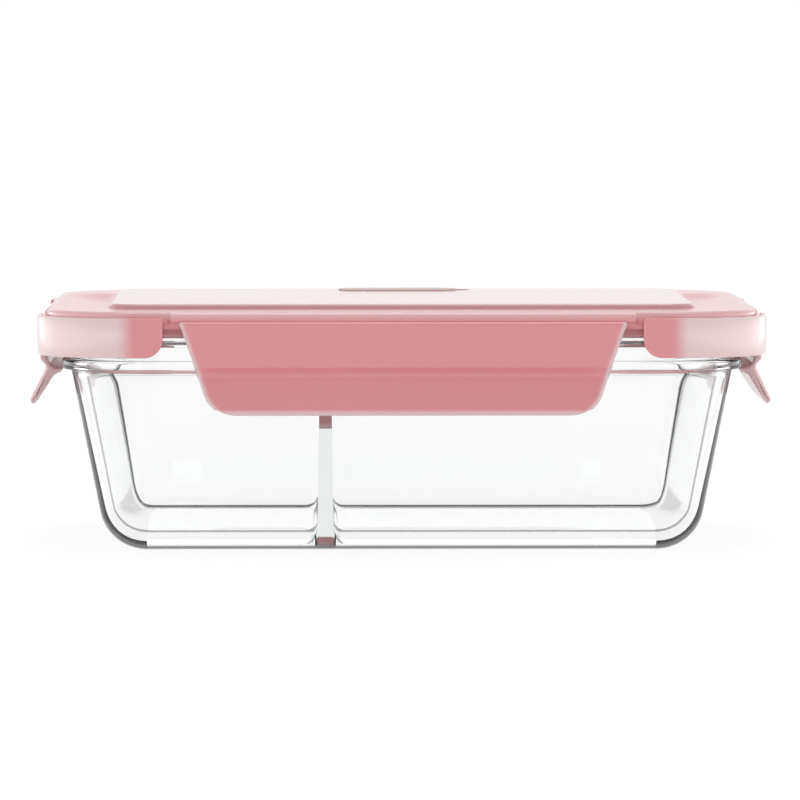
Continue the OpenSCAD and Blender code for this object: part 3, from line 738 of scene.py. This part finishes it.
latch_piece("front_flap", "latch_front", "front_latch", LONG_LATCH, 0, SIDE_STEP)
latch_piece("back_flap", "latch_back", "back_latch", LONG_LATCH, 180, SIDE_STEP)
latch_piece("left_flap", "latch_left", "left_latch", SHORT_LATCH, 270, 0.0)
latch_piece("right_flap", "latch_right", "right_latch", SHORT_LATCH, 90, 0.0)


# ---- Seals and vent ---------------------------------------------------------------------
# Food silicone, pressed and cured: the ring over the rim, the strip over the divider, and the
# small flap with its fixed end. All four are matt and a little translucent, with plain shapes
# that the frame already gives.


def silicone(name, colour):
    """Cured silicone rubber: matt, slightly translucent, with a powdery grain about 1 mm wide.

    The real grain is finer, and too fine to show.
    """
    material, tree = new_material(name)
    place = add_node(tree, "ShaderNodeTexCoord").outputs["Object"]
    grain = add_node(tree, "ShaderNodeTexNoise", {"Vector": place, "Scale": 900.0, "Detail": 3.0})
    skin = add_node(tree, "ShaderNodeBump", {"Strength": 0.12, "Distance": 0.0002,
                                            "Height": grain.outputs["Fac"]})
    body = add_node(tree, "ShaderNodeBsdfPrincipled", {
        "Base Color": linear(colour), "Roughness": 0.55, "IOR": 1.41,
        "Subsurface Weight": 0.25, "Subsurface Scale": 0.003, "Normal": skin.outputs["Normal"]})
    add_node(tree, "ShaderNodeOutputMaterial", {"Surface": body.outputs[0]})
    return material


seal_silicone = silicone("silicone_rubber_milky", "#EAE5E2")
vent_silicone = silicone("silicone_rubber_warm_grey", "#E0CBCA")
for node, material in (("rim_gasket", seal_silicone), ("divider_seal", seal_silicone),
                       ("vent_flap", vent_silicone), ("vent_anchor", vent_silicone)):
    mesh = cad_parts[node].data
    mesh.materials.clear()
    mesh.materials.append(material)


# ---- Stage ------------------------------------------------------------------------------
# A plain white table under soft, even studio light. It isn't part of the box. Its lengths
# are in metres.

TABLE_HALF = 40.0
TABLE_GLOW, GLOW_SHARE = 1.12, 0.8
AMBIENT, MIRROR_FALLS_TO = 0.67, 0.4
FIRST, SECOND, THIRD = 0, 1, 2   # the places of sockets that share one name

# The table glows only for rays from the camera, off a glossy face and through glass, so it
# shows white there and its glow doesn't light the box. The matt fifth of it that those rays
# still see keeps the box's shadow.
floor_mesh = bpy.data.meshes.new("floor")
floor_mesh.from_pydata([(x, y, 0) for x, y in TABLE_HALF * np.array([
    (-1, -1), (1, -1), (1, 1), (-1, 1)])], [], [(0, 1, 2, 3)])
floor = bpy.data.objects.new("floor", floor_mesh)
bpy.context.collection.objects.link(floor)
table_white, tree = new_material("white_table")
path = add_node(tree, "ShaderNodeLightPath")
seen = add_node(tree, "ShaderNodeMath", {
    FIRST: path.outputs["Is Camera Ray"], SECOND: path.outputs["Is Glossy Ray"]},
    operation="MAXIMUM")
seen = add_node(tree, "ShaderNodeMath", {
    FIRST: seen.outputs[0], SECOND: path.outputs["Is Transmission Ray"]}, operation="MAXIMUM")
share = add_node(tree, "ShaderNodeMath", {FIRST: seen.outputs[0], SECOND: GLOW_SHARE},
                 operation="MULTIPLY")
matt = add_node(tree, "ShaderNodeBsdfDiffuse", {"Color": linear("#F2F2F2")})
glow = add_node(tree, "ShaderNodeEmission", {"Color": linear("#FFFFFF"), "Strength": TABLE_GLOW})
both = add_node(tree, "ShaderNodeMixShader", {
    FIRST: share.outputs[0], SECOND: matt.outputs[0], THIRD: glow.outputs[0]})
add_node(tree, "ShaderNodeOutputMaterial", {"Surface": both.outputs[0]})
floor_mesh.materials.append(table_white)

# The world is white to the same rays, except that glossy ones see it fall with height towards
# MIRROR_FALLS_TO. It is never under AMBIENT, which lights the box from every side.
world = bpy.data.worlds.new("studio")
bpy.context.scene.world = world
world.use_nodes = True
tree = world.node_tree
tree.nodes.clear()
path = add_node(tree, "ShaderNodeLightPath")
around_box = add_node(tree, "ShaderNodeTexCoord").outputs["Generated"]
upward = add_node(tree, "ShaderNodeSeparateXYZ", {"Vector": around_box}).outputs["Z"]
overhead = add_node(tree, "ShaderNodeMapRange", {
    "Value": upward, "From Min": 0.35, "From Max": 0.75, "To Min": 1.0,
    "To Max": MIRROR_FALLS_TO})
mirrored = add_node(tree, "ShaderNodeMath", {
    FIRST: path.outputs["Is Glossy Ray"], SECOND: overhead.outputs[0]}, operation="MULTIPLY")
seen = add_node(tree, "ShaderNodeMath", {
    FIRST: path.outputs["Is Camera Ray"], SECOND: mirrored.outputs[0]}, operation="MAXIMUM")
seen = add_node(tree, "ShaderNodeMath", {
    FIRST: seen.outputs[0], SECOND: path.outputs["Is Transmission Ray"]}, operation="MAXIMUM")
level = add_node(tree, "ShaderNodeMath", {FIRST: seen.outputs[0], SECOND: AMBIENT},
                 operation="MAXIMUM")
sky = add_node(tree, "ShaderNodeBackground", {"Color": linear("#FFFFFF"),
                                             "Strength": level.outputs[0]})
add_node(tree, "ShaderNodeOutputWorld", {"Surface": sky.outputs[0]})


def soft_lamp(name, place, wide, tall, watts):
    """A rectangular area lamp that faces the middle of the box."""
    lamp = bpy.data.lights.new(name, "AREA")
    lamp.shape, lamp.size, lamp.size_y, lamp.energy = "RECTANGLE", wide, tall, watts
    obj = bpy.data.objects.new(name, lamp)
    obj.location = place
    obj.rotation_euler = (Vector((0, 0, 0.04)) - obj.location).to_track_quat("-Z", "Y").to_euler()
    obj.visible_camera = False
    bpy.context.collection.objects.link(obj)


# One lamp above and behind, and a long low strip at each side that lights the corners.
soft_lamp("top_lamp", (0.05, 0.35, 1.25), 0.6, 0.6, 3.0)
soft_lamp("left_lamp", (-0.46, -0.1, 0.045), 2.2, 0.08, 0.95)
soft_lamp("right_lamp", (0.46, -0.1, 0.045), 2.2, 0.08, 0.95)
bpy.context.scene.view_settings.view_transform = "Standard"

# A long lens, almost straight on to the front and 3.37 degrees down.
camera_data = bpy.data.cameras.new("camera")
camera = bpy.data.objects.new("camera", camera_data)
bpy.context.collection.objects.link(camera)
camera_data.lens, camera_data.sensor_width = 294.5, 36.0
camera_data.clip_start, camera_data.clip_end = 0.1, 100.0
camera.location = (-0.0254, -1.9725, 0.1572)
heading = Vector((0.0255 / 1.9725, 1.0, -tan(radians(3.37))))
camera.rotation_euler = heading.to_track_quat("-Z", "Y").to_euler()
bpy.context.scene.camera = camera
